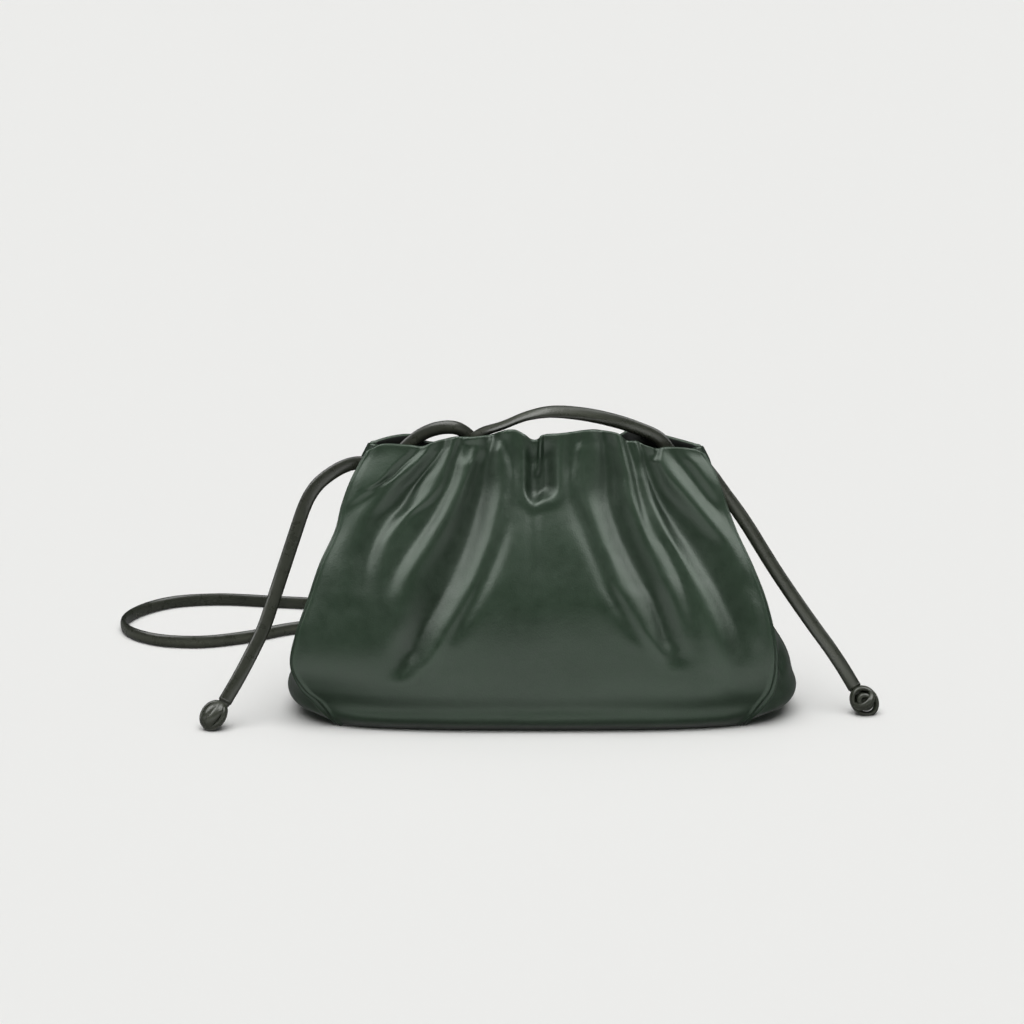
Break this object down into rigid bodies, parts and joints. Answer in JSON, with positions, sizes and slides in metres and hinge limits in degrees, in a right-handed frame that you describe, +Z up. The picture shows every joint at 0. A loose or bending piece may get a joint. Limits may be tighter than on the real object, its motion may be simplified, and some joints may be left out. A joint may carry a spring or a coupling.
{
  "type": "gathered pouch bag with a knotted strap",
  "caption": "Small gathered pouch bag of soft leather with an open mouth, boxed corners, and a long thin strap that passes through both sides and is knotted at its ends.",
  "frame": {"origin": "on the floor under the middle of the bag's body, without the strap and its knots", "axes": "+X to the right seen from the front, +Y to the back, +Z up; the gathered front faces -Y"},
  "size_m": [0.3498, 0.2123, 0.1353],
  "materials": {
    "body_leather": "smooth satin leather, very dark green",
    "strap_leather": "smooth satin leather strap, very dark green with a brown cast"
  },
  "bodies": {
    "root": {"front_panel": "body_leather", "back_panel": "body_leather", "side_gusset_left": "body_leather", "side_gusset_right": "body_leather", "base_panel": "body_leather", "strap_tail_left": "strap_leather", "strap_tail_right": "strap_leather", "strap_loop": "strap_leather", "knot_left": "strap_leather", "knot_right": "strap_leather"}
  },
  "joints": []
}
